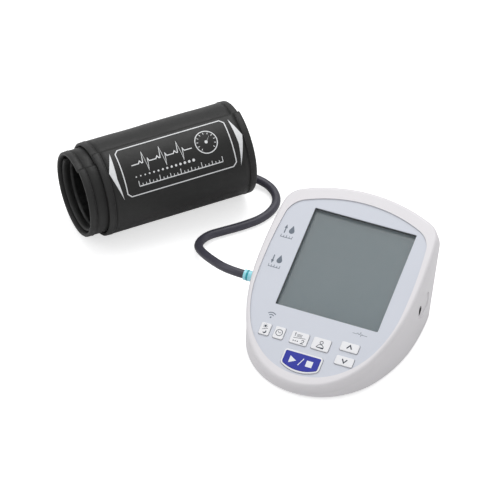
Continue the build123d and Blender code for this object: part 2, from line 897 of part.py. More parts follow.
# Power inlet: body, round nose in the wall, bore and centre pin
inlet = Plane(
    origin=base.from_local_coords((wall_x - scoop_depth, jack_y, jack_height)), x_dir=(0, 1, 0), z_dir=(1, 0, 0)
)
with BuildPart() as dc_jack:
    with BuildSketch(inlet.offset(-wall)):
        Rectangle(jack_body - 2, jack_body)
    extrude(amount=-(jack_length - wall))
    with BuildSketch(inlet.offset(-wall)):
        Circle(jack_nose_radius)
    extrude(amount=wall)
    with BuildSketch(inlet):
        Circle(jack_bore_radius)
    extrude(amount=-jack_bore_depth, mode=Mode.SUBTRACT)
    with BuildSketch(inlet.offset(-jack_bore_depth)):
        Circle(jack_pin_radius)
    extrude(amount=jack_bore_depth - 1.5)
save(dc_jack, "dc_jack")

# Inner air tubes, swept along short bends
pump_outlet = base.from_local_coords((pump_shift - pump_length - 5.0, pump_y - 5, pump_height + 2))
stub_top = port_height + manifold_height / 2 + stub_height
pump_inlet = base.from_local_coords((manifold_x, port_y + stub_spacing, stub_top))
sensor_inlet = base.from_local_coords((manifold_x, port_y, stub_top))
sensor_outlet = sensor_side.from_local_coords((0, 0, 1.5))
with BuildPart() as pump_tube:
    with BuildLine():
        FilletPolyline(
            pump_outlet,
            Vector(pump_inlet.X, pump_outlet.Y, pump_outlet.Z),
            Vector(pump_inlet.X, pump_inlet.Y, pump_outlet.Z),
            pump_inlet,
            radius=2.0,
        )
    with BuildSketch(Plane(pump_outlet, z_dir=(-1, 0, 0))):
        Circle(tube_radius)
    sweep()
save(pump_tube, "pump_tube")

with BuildPart() as sensor_tube:
    with BuildLine():
        FilletPolyline(
            sensor_inlet,
            Vector(sensor_inlet.X, sensor_inlet.Y, sensor_outlet.Z),
            Vector(sensor_inlet.X + 4, sensor_outlet.Y, sensor_outlet.Z),
            sensor_outlet,
            radius=1.7,
        )
    with BuildSketch(Plane(sensor_inlet, z_dir=(0, 0, 1))):
        Circle(sensor_tube_radius)
    sweep()
save(sensor_tube, "sensor_tube")

# Cuff: three spiral turns of a padded band, each shifted a little along the roll
past_top = 180 - turn_overlap
turns = {
    "cuff_outer_turn": (0, 3, 0.0, free_edge_angle, past_top),
    "cuff_inner_turn": (2, 3, inner_shift, turn_overlap, past_top),
}
for name, (first, halves, shift, start, end) in turns.items():
    with BuildPart() as turn_piece:
        with BuildSketch(roll.offset(-shift - binding_width)):
            make_face(spiral_band(first, halves, 0.0, band_thickness, start, end))
        extrude(amount=-(cuff_width - 2 * binding_width))
    save(turn_piece, name)

core_layers = {
    "cuff_core_cover": (0.0, cover_thickness, 0.0),
    "cuff_bladder": (
        cover_thickness + layer_gap,
        cover_thickness + layer_gap + bladder_thickness,
        bladder_margin - binding_width,
    ),
    "cuff_core_lining": (cover_thickness + bladder_thickness + 2 * layer_gap, band_thickness, 0.0),
}
for name, (outer_depth, inner_depth, margin) in core_layers.items():
    with BuildPart() as layer:
        with BuildSketch(roll.offset(-core_shift - binding_width - margin)):
            make_face(spiral_band(4, 2, outer_depth, inner_depth, turn_overlap, 180 - core_end_angle))
        extrude(amount=-(cuff_width - 2 * binding_width - 2 * margin))
    save(layer, name)

# Edge bindings close both ends of every turn
binding_turns = (
    (0, 3, 0.0, free_edge_angle, past_top),
    (2, 3, inner_shift, turn_overlap, past_top),
    (4, 2, core_shift, turn_overlap, 180 - core_end_angle),
)
for name, along in (("cuff_right_binding", binding_width), ("cuff_left_binding", cuff_width)):
    with BuildPart() as binding:
        for first, halves, shift, start, end in binding_turns:
            with BuildSketch(roll.offset(-shift - along)):
                make_face(spiral_band(first, halves, 0.0, band_thickness, start, end))
            extrude(amount=binding_width)
    save(binding, name)

# Hook patch between the free end and the turn below it
hook_depth = band_thickness + (turn_gap - hook_thickness) / 2
with BuildPart() as hook_patch:
    with BuildSketch(roll.offset(-(cuff_width - hook_width) / 2)):
        make_face(
            spiral_band(
                0, 1, hook_depth, hook_depth + hook_thickness, free_edge_angle + 4, 180 - hook_angle
            )
        )
    extrude(amount=-hook_width)
save(hook_patch, "hook_patch")

# Hose port on the bladder's edge, at the foot of the roll
port_radius = cuff_radius - 2 * (band_thickness + turn_gap) - band_thickness / 2
cuff_port_plane = roll.offset(-core_shift)
with BuildPart() as cuff_port:
    with BuildSketch(cuff_port_plane):
        with Locations((-cuff_port_offset, -port_radius)):
            Circle(cuff_port_radius)
    extrude(amount=cuff_port_length)
save(cuff_port, "cuff_port")

# Air hose: straight runs joined by large arcs, points measured from the monitor's datum
hose_start = Vector(-(wall_x + plug_length), port_y, port_height)
hose_end = base.to_local_coords(
    cuff_port_plane.from_local_coords((-cuff_port_offset, -port_radius, cuff_port_length))
)
hose_lead = base.to_local_coords(
    cuff_port_plane.from_local_coords((-cuff_port_offset, -port_radius, cuff_port_length + 8.0))
)
hose_points = [
    hose_start,
    Vector(-91.0, port_y, port_height),
    Vector(-111.0, 4.0, 19.0),
    Vector(-129.0, 20.5, 10.5),
    Vector(-133.0, 32.5, 6.5),
    Vector(-130.4, 44.8, 4.3),
    Vector(-122.0, 54.0, 3.7),
    Vector(-109.0, 67.0, 3.7),
    Vector(-98.6, 80.5, 3.7),
    Vector(-94.4, 95.3, 3.7),
    Vector(-96.5, 107.1, 3.8),
    Vector(-103.9, 116.5, 4.2),
    Vector(-114.9, 121.4, 5.2),
    Vector(-126.9, 120.6, 7.2),
    hose_lead,
    hose_end,
]
points = [base.from_local_coords(point) for point in hose_points]
runs = [after - before for before, after in zip(points, points[1:])]
hose_radii = []
for before, after in zip(runs, runs[1:]):
    half_turn = radians(before.get_angle(after)) / 2
    hose_radii.append(0.45 * min(before.length, after.length) / tan(half_turn))
with BuildPart() as air_hose:
    with BuildLine() as hose_route:
        FilletPolyline(*points, radius=hose_radii)
    with BuildSketch(Plane(points[0], z_dir=runs[0])):
        Circle(hose_radius)
    sweep()
save(air_hose, "air_hose")
print("hose radii", [round(radius, 1) for radius in hose_radii])
print("hose length", round(hose_route.wires()[0].length, 1))
print("hose volume ratio", air_hose.part.volume / (3.14159265 * hose_radius**2 * hose_route.wires()[0].length))
print("unit", round(unit_x, 2), round(unit_y, 2))
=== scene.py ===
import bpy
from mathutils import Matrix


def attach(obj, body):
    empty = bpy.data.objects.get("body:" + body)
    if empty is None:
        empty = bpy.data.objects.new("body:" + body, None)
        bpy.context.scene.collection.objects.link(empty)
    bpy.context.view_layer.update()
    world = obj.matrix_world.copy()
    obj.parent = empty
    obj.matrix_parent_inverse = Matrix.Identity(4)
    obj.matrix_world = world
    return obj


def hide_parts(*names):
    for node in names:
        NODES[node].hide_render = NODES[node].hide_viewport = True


bl_info = {
    "name": "Arm Blood Pressure Monitor",
    "version": (1, 0, 0),
    "blender": (4, 5, 0),
    "location": "View3D > Sidebar > Monitor",
    "description": "Dresses the monitor, its air hose and its rolled arm cuff",
    "category": "Object",
}

from math import cos, pi, radians, sin

import bmesh
import bpy
from mathutils import Vector

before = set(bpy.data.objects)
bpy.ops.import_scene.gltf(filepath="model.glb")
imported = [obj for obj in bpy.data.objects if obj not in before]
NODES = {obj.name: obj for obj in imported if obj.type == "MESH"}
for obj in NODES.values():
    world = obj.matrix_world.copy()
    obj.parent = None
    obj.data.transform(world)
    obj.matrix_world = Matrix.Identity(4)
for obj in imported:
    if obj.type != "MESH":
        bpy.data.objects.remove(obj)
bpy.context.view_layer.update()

# Places of the monitor and the roll in the shared frame, in metres
UNIT_X, UNIT_Y = 0.09616, -0.02319
TILT = radians(21.0)
WINDOW_HEIGHT = 0.0525
ROLL_ANGLE = radians(47.4)
# Centre of the roll's right end, and the ways to its front and along it
ROLL_END = Vector((UNIT_X - 0.1365, UNIT_Y + 0.118, 0.040))
ROLL_FRONT = Vector((sin(ROLL_ANGLE), -cos(ROLL_ANGLE), 0))
ROLL_ALONG = Vector((cos(ROLL_ANGLE), sin(ROLL_ANGLE), 0))
UP = Vector((0, 0, 1))

# Floor: a little under the feet, its grey, and the light that lifts it to white for the camera
FLOOR_DROP = 0.0002
FLOOR_GREY = 0.80
FLOOR_LIFT = 0.62

# Print above what it lies on, and the tops of the keys above the plate
PRINT_LIFT = 0.00004
KEY_TOP = 0.001
START_KEY_TOP = 0.0013

# Least cosine at a mitred corner of a drawn line, so that no corner runs far out
MITRE_LIMIT = 0.35

# Pieces of the rolled band: degrees from the top, and shift along the roll
OUTER_TURNS, OUTER_SHIFT = (8, 379.9), 0.0
MIDDLE_TURNS, MIDDLE_SHIFT = (380, 739.9), -0.015
CORE_TURNS, CORE_SHIFT = (740, 1019.9), -0.012
BAND_ROWS = (0, 0.5, 1)
TAPE_STEP = 2.5

# Stitches: degrees of a stitch and of its pitch, place on the tape, radius and sides of the thread
STITCH_TURN, STITCH_PITCH = 2.6, 4.2
STITCH_INSET = 0.0008
THREAD_RADIUS = 0.00018
THREAD_SIDES = 6

# Print on the cuff: degrees of its middle from the top, lift, and rows of cuts in millimetres
CUFF_PRINT_TURN = 42.0
CUFF_PRINT_LIFT = 0.00012
CUFF_PRINT_REACH = 60
CUFF_PRINT_STEP = 1.6


# Settings


class StageSettings(bpy.types.PropertyGroup):
    azimuth: bpy.props.FloatProperty(
        name="Azimuth", description="Camera's turn round the object", default=radians(22.72), subtype="ANGLE",
        unit="ROTATION",
    )
    elevation: bpy.props.FloatProperty(
        name="Elevation", description="Camera's height above the horizon", default=radians(42.0),
        subtype="ANGLE", unit="ROTATION",
    )
    distance: bpy.props.FloatProperty(
        name="Distance", description="From the camera to its aim", default=2.6, subtype="DISTANCE",
        unit="LENGTH",
    )
    lens: bpy.props.FloatProperty(name="Lens", description="Focal length", default=243.0, unit="CAMERA")
    aim: bpy.props.FloatVectorProperty(
        name="Aim", description="Point that the camera looks at", default=(0.02876, -0.04269, 0.0635),
        subtype="TRANSLATION", unit="LENGTH",
    )
    floor_size: bpy.props.FloatProperty(
        name="Floor", description="Side of the pale floor", default=6.0, subtype="DISTANCE", unit="LENGTH",
    )
    sky: bpy.props.FloatProperty(name="Sky", description="Strength of the even light", default=0.62, min=0.0)
    key: bpy.props.FloatProperty(
        name="Key light", description="Power of the large lamp overhead", default=17.0, unit="POWER",
    )
    fill: bpy.props.FloatProperty(
        name="Fill light", description="Power of the lamp on the left", default=5.0, unit="POWER",
    )


class CaseSettings(bpy.types.PropertyGroup):
    white: bpy.props.FloatVectorProperty(
        name="Case white", description="Moulded case", default=(0.76, 0.74, 0.76), subtype="COLOR",
    )
    plate: bpy.props.FloatVectorProperty(
        name="Plate", description="Printed face plate", default=(0.62, 0.645, 0.71), subtype="COLOR",
    )
    key_white: bpy.props.FloatVectorProperty(
        name="Key white", description="White keys", default=(0.83, 0.83, 0.85), subtype="COLOR",
    )
    start_blue: bpy.props.FloatVectorProperty(
        name="Start blue", description="Insert of the start key", default=(0.002, 0.012, 0.33),
        subtype="COLOR",
    )
    display: bpy.props.FloatVectorProperty(
        name="Display", description="Blank liquid crystal", default=(0.066, 0.098, 0.110), subtype="COLOR",
    )
    ink: bpy.props.FloatVectorProperty(
        name="Ink", description="Print on the plate", default=(0.14, 0.17, 0.21), subtype="COLOR",
    )
    key_ink: bpy.props.FloatVectorProperty(
        name="Key ink", description="Marks on the white keys", default=(0.02, 0.03, 0.05), subtype="COLOR",
    )
    teal: bpy.props.FloatVectorProperty(
        name="Plug teal", description="Air plug", default=(0.36, 0.78, 0.88), subtype="COLOR",
    )


class HoseSettings(bpy.types.PropertyGroup):
    diameter: bpy.props.FloatProperty(
        name="Diameter", description="Outside of the air hose", default=0.007, subtype="DISTANCE",
        unit="LENGTH",
    )
    length: bpy.props.FloatProperty(
        name="Length", description="Hose from the cuff to the plug", default=0.217, subtype="DISTANCE",
        unit="LENGTH",
    )
    colour: bpy.props.FloatVectorProperty(
        name="Colour", description="Hose rubber", default=(0.052, 0.050, 0.068), subtype="COLOR",
    )


class CuffSettings(bpy.types.PropertyGroup):
    radius: bpy.props.FloatProperty(
        name="Radius", description="Outside of the roll", default=0.040, subtype="DISTANCE", unit="LENGTH",
    )
    width: bpy.props.FloatProperty(
        name="Width", description="Band from edge to edge", default=0.128, subtype="DISTANCE", unit="LENGTH",
    )
    thickness: bpy.props.FloatProperty(
        name="Thickness", description="Padded band", default=0.0026, subtype="DISTANCE", unit="LENGTH",
    )
    gap: bpy.props.FloatProperty(
        name="Gap", description="Between two turns", default=0.0008, subtype="DISTANCE", unit="LENGTH",
    )
    binding: bpy.props.FloatProperty(
        name="Binding", description="Width of the edge tape", default=0.006, subtype="DISTANCE",
        unit="LENGTH",
    )
    fabric: bpy.props.FloatVectorProperty(
        name="Fabric", description="Brushed cover", default=(0.0062, 0.0062, 0.0056), subtype="COLOR",
    )
    lining: bpy.props.FloatVectorProperty(
        name="Lining", description="Smooth inner cloth", default=(0.0050, 0.0050, 0.0048), subtype="COLOR",
    )
    print_white: bpy.props.FloatVectorProperty(
        name="Print", description="Ink on the cover", default=(0.78, 0.79, 0.80), subtype="COLOR",
    )


GROUPS = {
    "bp_stage": StageSettings, "bp_case": CaseSettings, "bp_hose": HoseSettings, "bp_cuff": CuffSettings,
}


# Finishes


class Finish:
    """A material on one shader, with nodes added by name."""

    def __init__(self, name, colour, roughness):
        self.material = bpy.data.materials.new(name)
        self.material.use_nodes = True
        self.tree = self.material.node_tree
        self.shader = self.tree.nodes["Principled BSDF"]
        self.shader.inputs["Base Color"].default_value = (*colour, 1)
        self.shader.inputs["Roughness"].default_value = roughness
        self.colour = colour
        self.roughness = roughness
        self.place = self.node("ShaderNodeTexCoord").outputs["Object"]

    def node(self, kind, **values):
        made = self.tree.nodes.new(kind)
        for key, value in values.items():
            if key in made.inputs:
                made.inputs[key].default_value = value
            else:
                setattr(made, key, value)
        return made

    def link(self, source, target):
        self.tree.links.new(source, target)

    def noise(self, scale, detail=3.0, stretch=(1, 1, 1)):
        mapping = self.node("ShaderNodeMapping")
        mapping.inputs["Scale"].default_value = stretch
        self.link(self.place, mapping.inputs["Vector"])
        noise = self.node("ShaderNodeTexNoise")
        noise.inputs["Scale"].default_value = scale
        noise.inputs["Detail"].default_value = detail
        self.link(mapping.outputs["Vector"], noise.inputs["Vector"])
        return noise.outputs["Fac"]

    def ramp(self, source, stops):
        ramp = self.node("ShaderNodeValToRGB")
        elements = ramp.color_ramp.elements
        while len(elements) < len(stops):
            elements.new(0.5)
        for element, (where, colour) in zip(elements, stops):
            element.position = where
            element.color = (*colour, 1)
        self.link(source, ramp.inputs["Fac"])
        return ramp.outputs["Color"]

    def mottle(self, scale=40.0, amount=0.05):
        """Slight drift of the colour over the surface."""
        low = tuple(c * (1 - amount) for c in self.colour)
        high = tuple(min(1.0, c * (1 + amount)) for c in self.colour)
        self.link(self.ramp(self.noise(scale), [(0.3, low), (0.7, high)]), self.shader.inputs["Base Color"])
        return self

    def rough(self, scale=300.0, spread=0.06):
        """Roughness that varies round the set value."""
        span = self.node("ShaderNodeMapRange")
        span.inputs["To Min"].default_value = max(0.0, self.roughness - spread)
        span.inputs["To Max"].default_value = min(1.0, self.roughness + spread)
        self.link(self.noise(scale), span.inputs["Value"])
        self.link(span.outputs["Result"], self.shader.inputs["Roughness"])
        return self

    def bump(self, source, strength, depth):
        bump = self.node("ShaderNodeBump")
        bump.inputs["Strength"].default_value = strength
        bump.inputs["Distance"].default_value = depth
        self.link(source, bump.inputs["Height"])
        if self.shader.inputs["Normal"].is_linked:
            self.link(self.shader.inputs["Normal"].links[0].from_socket, bump.inputs["Normal"])
        self.link(bump.outputs["Normal"], self.shader.inputs["Normal"])
        return self

    def grain(self, scale=2500.0, strength=0.15, depth=0.00005, stretch=(1, 1, 1)):
        """Fine texture of the mould."""
        return self.bump(self.noise(scale, 2.0, stretch), strength, depth)

    def set(self, **values):
        for key, value in values.items():
            self.shader.inputs[key.replace("_", " ")].default_value = value
        return self


def moulded(name, colour, roughness=0.38, coat=0.0):
    finish = Finish(name, colour, roughness).mottle(30.0, 0.012).rough(220.0, 0.05).grain(2600.0, 0.12)
    finish.set(Coat_Weight=coat, Coat_Roughness=0.25)
    return finish.material


def rubber(name, colour, roughness=0.55):
    return Finish(name, colour, roughness).mottle(90.0, 0.10).rough(500.0, 0.08).grain(3000.0, 0.2).material


def metal(name, colour, roughness, stretch=(1, 1, 1)):
    finish = Finish(name, colour, roughness).mottle(60.0, 0.06).rough(600.0, 0.1).grain(
        1800.0, 0.12, 0.00004, stretch,
    )
    return finish.set(Metallic=1.0).material


def woven(name, colour, roughness, pitch, depth, sheen):
    """Cloth: crossing ribs of thread, patchy dye and a soft sheen."""
    finish = Finish(name, colour, roughness).mottle(55.0, 0.18).rough(260.0, 0.07)
    heights = []
    for axis in (ROLL_ALONG, UP):
        turned = finish.node("ShaderNodeVectorMath", operation="DOT_PRODUCT")
        turned.inputs[1].default_value = tuple(axis)
        finish.link(finish.place, turned.inputs[0])
        wave = finish.node("ShaderNodeMath", operation="MULTIPLY")
        wave.inputs[1].default_value = 2 * pi / pitch
        finish.link(turned.outputs["Value"], wave.inputs[0])
        ribs = finish.node("ShaderNodeMath", operation="SINE")
        finish.link(wave.outputs["Value"], ribs.inputs[0])
        heights.append(ribs.outputs["Value"])
    crossing = finish.node("ShaderNodeMath", operation="MULTIPLY")
    finish.link(heights[0], crossing.inputs[0])
    finish.link(heights[1], crossing.inputs[1])
    finish.bump(crossing.outputs["Value"], 0.35, depth)
    finish.bump(finish.noise(900.0, 4.0), 0.25, depth)
    finish.bump(finish.noise(45.0, 2.0), 0.35, 0.0012)
    finish.set(Sheen_Weight=sheen, Sheen_Roughness=0.45)
    return finish.material


def display_finish(colour):
    """Blank reflective glass, with painted shade darkening it towards its upper left corner, where the
    window's walls shade it.
    """
    finish = Finish("liquid crystal", colour, 0.16)
    # Painted shade: a slope from dark to light across the glass, darkest at the upper left corner under the
    # window's walls
    mapping = finish.node("ShaderNodeMapping")
    mapping.inputs["Location"].default_value = (0.55 - UNIT_X * 5.0, 0.12, 0)
    mapping.inputs["Scale"].default_value = (5.0, -6.5, 0)
    finish.link(finish.place, mapping.inputs["Vector"])
    painted_shade = finish.node("ShaderNodeTexGradient", gradient_type="LINEAR")
    turned = finish.node("ShaderNodeMapping")
    turned.inputs["Rotation"].default_value = (0, 0, radians(-50))
    finish.link(mapping.outputs["Vector"], turned.inputs["Vector"])
    finish.link(turned.outputs["Vector"], painted_shade.inputs["Vector"])
    low = tuple(c * 0.78 for c in colour)
    high = tuple(c * 1.22 for c in colour)
    finish.link(
        finish.ramp(painted_shade.outputs["Fac"], [(0.0, low), (1.0, high)]), finish.shader.inputs["Base Color"],
    )
    finish.rough(400.0, 0.03).grain(4000.0, 0.05, 0.00002)
    return finish.material


def clear_finish(colour):
    """Thin clear window: mostly straight through, with a faint gloss."""
    finish = Finish("clear window", colour, 0.08)
    finish.rough(120.0, 0.02).mottle(20.0, 0.01)
    finish.set(Alpha=0.05, IOR=1.45, Specular_IOR_Level=0.25)
    return finish.material


def board_finish():
    """Solder mask over copper tracks."""
    finish = Finish("solder mask", (0.015, 0.13, 0.05), 0.35)
    tracks = finish.node("ShaderNodeTexBrick")
    tracks.inputs["Color1"].default_value = (0.012, 0.11, 0.04, 1)
    tracks.inputs["Color2"].default_value = (0.015, 0.14, 0.055, 1)
    tracks.inputs["Mortar"].default_value = (0.05, 0.26, 0.09, 1)
    tracks.inputs["Scale"].default_value = 240.0
    tracks.inputs["Mortar Size"].default_value = 0.012
    finish.link(finish.place, tracks.inputs["Vector"])
    finish.link(tracks.outputs["Color"], finish.shader.inputs["Base Color"])
    finish.rough(300.0, 0.05).bump(tracks.outputs["Fac"], 0.3, 0.00004)
    return finish.material


def cell_finish():
    """Printed wrap with a lighter band round one end."""
    finish = Finish("cell wrap", (0.03, 0.035, 0.05), 0.3)
    wave = finish.node("ShaderNodeSeparateXYZ")
    finish.link(finish.place, wave.inputs["Vector"])
    finish.link(
        finish.ramp(wave.outputs["Y"], [(0.0, (0.03, 0.035, 0.05)), (0.02, (0.55, 0.36, 0.12))]),
        finish.shader.inputs["Base Color"],
    )
    return finish.rough(200.0, 0.06).grain(900.0, 0.05).set(Metallic=0.4).material


def paint(node, material):
    """Give a carried node its finish."""
    mesh = NODES[node].data
    mesh.materials.clear()
    mesh.materials.append(material)


# Mesh helpers


def piece(name, mesh, body, material, smooth=True):
    """A new object that rides on a body."""
    made = bpy.data.objects.new(name, mesh)
    bpy.context.scene.collection.objects.link(made)
    mesh.materials.append(material)
    if smooth:
        for polygon in mesh.polygons:
            polygon.use_smooth = True
    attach(made, body)
    return made


def mesh_from(name, points, faces):
    mesh = bpy.data.meshes.new(name)
    mesh.from_pydata([tuple(p) for p in points], [], faces)
    mesh.validate()
    mesh.update()
    return mesh


def on_face(x, v, height):
    """Point on the monitor's face: across, up the slope and above the plate, in metres."""
    return Vector((
        UNIT_X + x, UNIT_Y + v * cos(TILT) - height * sin(TILT),
        WINDOW_HEIGHT + v * sin(TILT) + height * cos(TILT),
    ))


def stroke(path, width, closed=False):
    """Outline strips of a drawn line with mitred corners, as points and quads in the plane."""
    count = len(path)
    points, quads = [], []
    for i in range(count):
        here = Vector(path[i])
        before = Vector(path[i - 1]) if i or closed else None
        after = Vector(path[(i + 1) % count]) if i < count - 1 or closed else None
        d1 = (here - before).normalized() if before is not None else (after - here).normalized()
        d2 = (after - here).normalized() if after is not None else d1
        normal = Vector((-(d1 + d2).y, (d1 + d2).x)).normalized()
        across = width / 2 / max(MITRE_LIMIT, normal.dot(Vector((-d1.y, d1.x))))
        points += [here + normal * across, here - normal * across]
    last = count if closed else count - 1
    for i in range(last):
        j = (i + 1) % count
        quads.append((2 * i, 2 * i + 1, 2 * j + 1, 2 * j))
    return points, quads


def arc_path(x, y, radius, begin, end, steps=18):
    """Points along an arc, with its angles in degrees."""
    angles = [radians(begin + (end - begin) * i / steps) for i in range(steps + 1)]
    return [(x + radius * cos(a), y + radius * sin(a)) for a in angles]


def disc(x, y, radius, steps=24):
    """Filled circle."""
    angles = [2 * pi * i / steps for i in range(steps)]
    return [Vector((x + radius * cos(a), y + radius * sin(a))) for a in angles], [tuple(range(steps))]


def polygon(path):
    return [Vector(p) for p in path], [tuple(range(len(path)))]


def raised(shape, y):
    """A flat shape moved up."""
    points, faces = shape
    return [Vector((p.x, p.y + y)) for p in points], faces


def gather(shapes):
    """Several flat shapes as one list of points and faces."""
    points, faces = [], []
    for shape_points, shape_faces in shapes:
        start = len(points)
        points += [Vector(p) for p in shape_points]
        faces += [tuple(start + i for i in face) for face in shape_faces]
    return points, faces


def face_mark(name, shapes, x, v, height, body, material):
    """Print on the sloping face: flat shapes in millimetres, lifted a little off the surface."""
    points, faces = gather(shapes)
    placed = [on_face(x + p.x / 1000, v + p.y / 1000, height + PRINT_LIFT) for p in points]
    return piece(name, mesh_from(name, placed, faces), body, material, smooth=False)


# Stage


class BPM_OT_stage(bpy.types.Operator):
    """Floor, lamps, world and camera"""

    bl_idname = "bpm.stage"
    bl_label = "Stage"

    def execute(self, context):
        settings = context.scene.bp_stage
        half = settings.floor_size / 2
        mesh = mesh_from(
            "floor", [(-half, -half, 0), (half, -half, 0), (half, half, 0), (-half, half, 0)], [(0, 1, 2, 3)],
        )
        ground = bpy.data.objects.new("floor", mesh)
        context.scene.collection.objects.link(ground)
        ground.location.z = -FLOOR_DROP
        pale = bpy.data.materials.new("pale floor")
        pale.use_nodes = True
        tree = pale.node_tree
        tree.nodes.clear()
        output = tree.nodes.new("ShaderNodeOutputMaterial")
        matt = tree.nodes.new("ShaderNodeBsdfDiffuse")
        matt.inputs["Color"].default_value = (FLOOR_GREY, FLOOR_GREY, FLOOR_GREY, 1)
        lift = tree.nodes.new("ShaderNodeEmission")
        lift.inputs["Color"].default_value = (1, 1, 1, 1)
        lift.inputs["Strength"].default_value = FLOOR_LIFT
        both = tree.nodes.new("ShaderNodeAddShader")
        tree.links.new(matt.outputs[0], both.inputs[0])
        tree.links.new(lift.outputs[0], both.inputs[1])
        rays = tree.nodes.new("ShaderNodeLightPath")
        seen = tree.nodes.new("ShaderNodeMath")
        seen.operation = "ADD"
        seen.use_clamp = True
        tree.links.new(rays.outputs["Is Camera Ray"], seen.inputs[0])
        tree.links.new(rays.outputs["Is Transmission Ray"], seen.inputs[1])
        choose = tree.nodes.new("ShaderNodeMixShader")
        tree.links.new(seen.outputs[0], choose.inputs[0])
        tree.links.new(matt.outputs[0], choose.inputs[1])
        tree.links.new(both.outputs[0], choose.inputs[2])
        tree.links.new(choose.outputs[0], output.inputs["Surface"])
        mesh.materials.append(pale)

        world = bpy.data.worlds.new("studio")
        context.scene.world = world
        world.use_nodes = True
        tree = world.node_tree
        tree.nodes.clear()
        output = tree.nodes.new("ShaderNodeOutputWorld")
        even = tree.nodes.new("ShaderNodeBackground")
        even.inputs["Color"].default_value = (0.985, 0.99, 1.0, 1)
        even.inputs["Strength"].default_value = settings.sky
        white = tree.nodes.new("ShaderNodeBackground")
        white.inputs["Color"].default_value = (1, 1, 1, 1)
        white.inputs["Strength"].default_value = 1.0
        rays = tree.nodes.new("ShaderNodeLightPath")
        choose = tree.nodes.new("ShaderNodeMixShader")
        tree.links.new(rays.outputs["Is Camera Ray"], choose.inputs[0])
        tree.links.new(even.outputs[0], choose.inputs[1])
        tree.links.new(white.outputs[0], choose.inputs[2])
        tree.links.new(choose.outputs[0], output.inputs["Surface"])

        self.lamp("overhead", (-0.1, 0.75, 1.7), 1.5, settings.key)
        self.lamp("left_fill", (-1.5, -0.7, 1.1), 1.3, settings.fill)

        lens = bpy.data.cameras.new("camera")
        lens.sensor_width = 36.0
        lens.lens = settings.lens
        lens.dof.use_dof = False
        lens.clip_start, lens.clip_end = 0.1, 20.0
        camera = bpy.data.objects.new("camera", lens)
        context.scene.collection.objects.link(camera)
        a, e = settings.azimuth, settings.elevation
        back = Vector((sin(a) * cos(e), -cos(a) * cos(e), sin(e)))
        camera.location = Vector(settings.aim) + back * settings.distance
        camera.rotation_mode = "QUATERNION"
        camera.rotation_quaternion = (-back).to_track_quat("-Z", "Y")
        context.scene.camera = camera
        context.scene.view_settings.view_transform = "Standard"
        return {"FINISHED"}

    def lamp(self, name, place, size, power):
        light = bpy.data.lights.new(name, "AREA")
        light.size = size
        light.energy = power
        made = bpy.data.objects.new(name, light)
        bpy.context.scene.collection.objects.link(made)
        made.location = place
        aim = Vector((0, 0, 0.04)) - Vector(place)
        made.rotation_mode = "QUATERNION"
        made.rotation_quaternion = aim.to_track_quat("-Z", "Y")


# Monitor


class BPM_OT_case(bpy.types.Operator):
    """Case, face plate, feet and door"""

    bl_idname = "bpm.case"
    bl_label = "Case and plate"

    def execute(self, context):
        settings = context.scene.bp_case
        shell = moulded("satin white case", tuple(settings.white), 0.36, 0.15)
        for node in ("top_case", "bottom_case", "battery_door"):
            paint(node, shell)
        plate = Finish("printed plate", tuple(settings.plate), 0.34)
        plate.mottle(25.0, 0.01).rough(500.0, 0.04).grain(3500.0, 0.10, 0.00003)
        paint("face_panel", plate.material)
        paint("rubber_feet", rubber("foot rubber", (0.05, 0.05, 0.055), 0.6))
        return {"FINISHED"}


class BPM_OT_display(bpy.types.Operator):
    """Window, dark frame and blank liquid crystal"""

    bl_idname = "bpm.display"
    bl_label = "Display"

    def execute(self, context):
        settings = context.scene.bp_case
        paint("lcd_frame", moulded("dark frame", (0.018, 0.021, 0.024), 0.5))
        paint("lcd_glass", display_finish(tuple(settings.display)))
        paint("display_window", clear_finish((0.80, 0.86, 0.88)))
        paint("lcd_reflector", metal("reflector foil", (0.72, 0.73, 0.71), 0.35, (1, 6, 1)))
        paint("zebra_strip", rubber("contact strip", (0.05, 0.05, 0.05), 0.5))
        return {"FINISHED"}


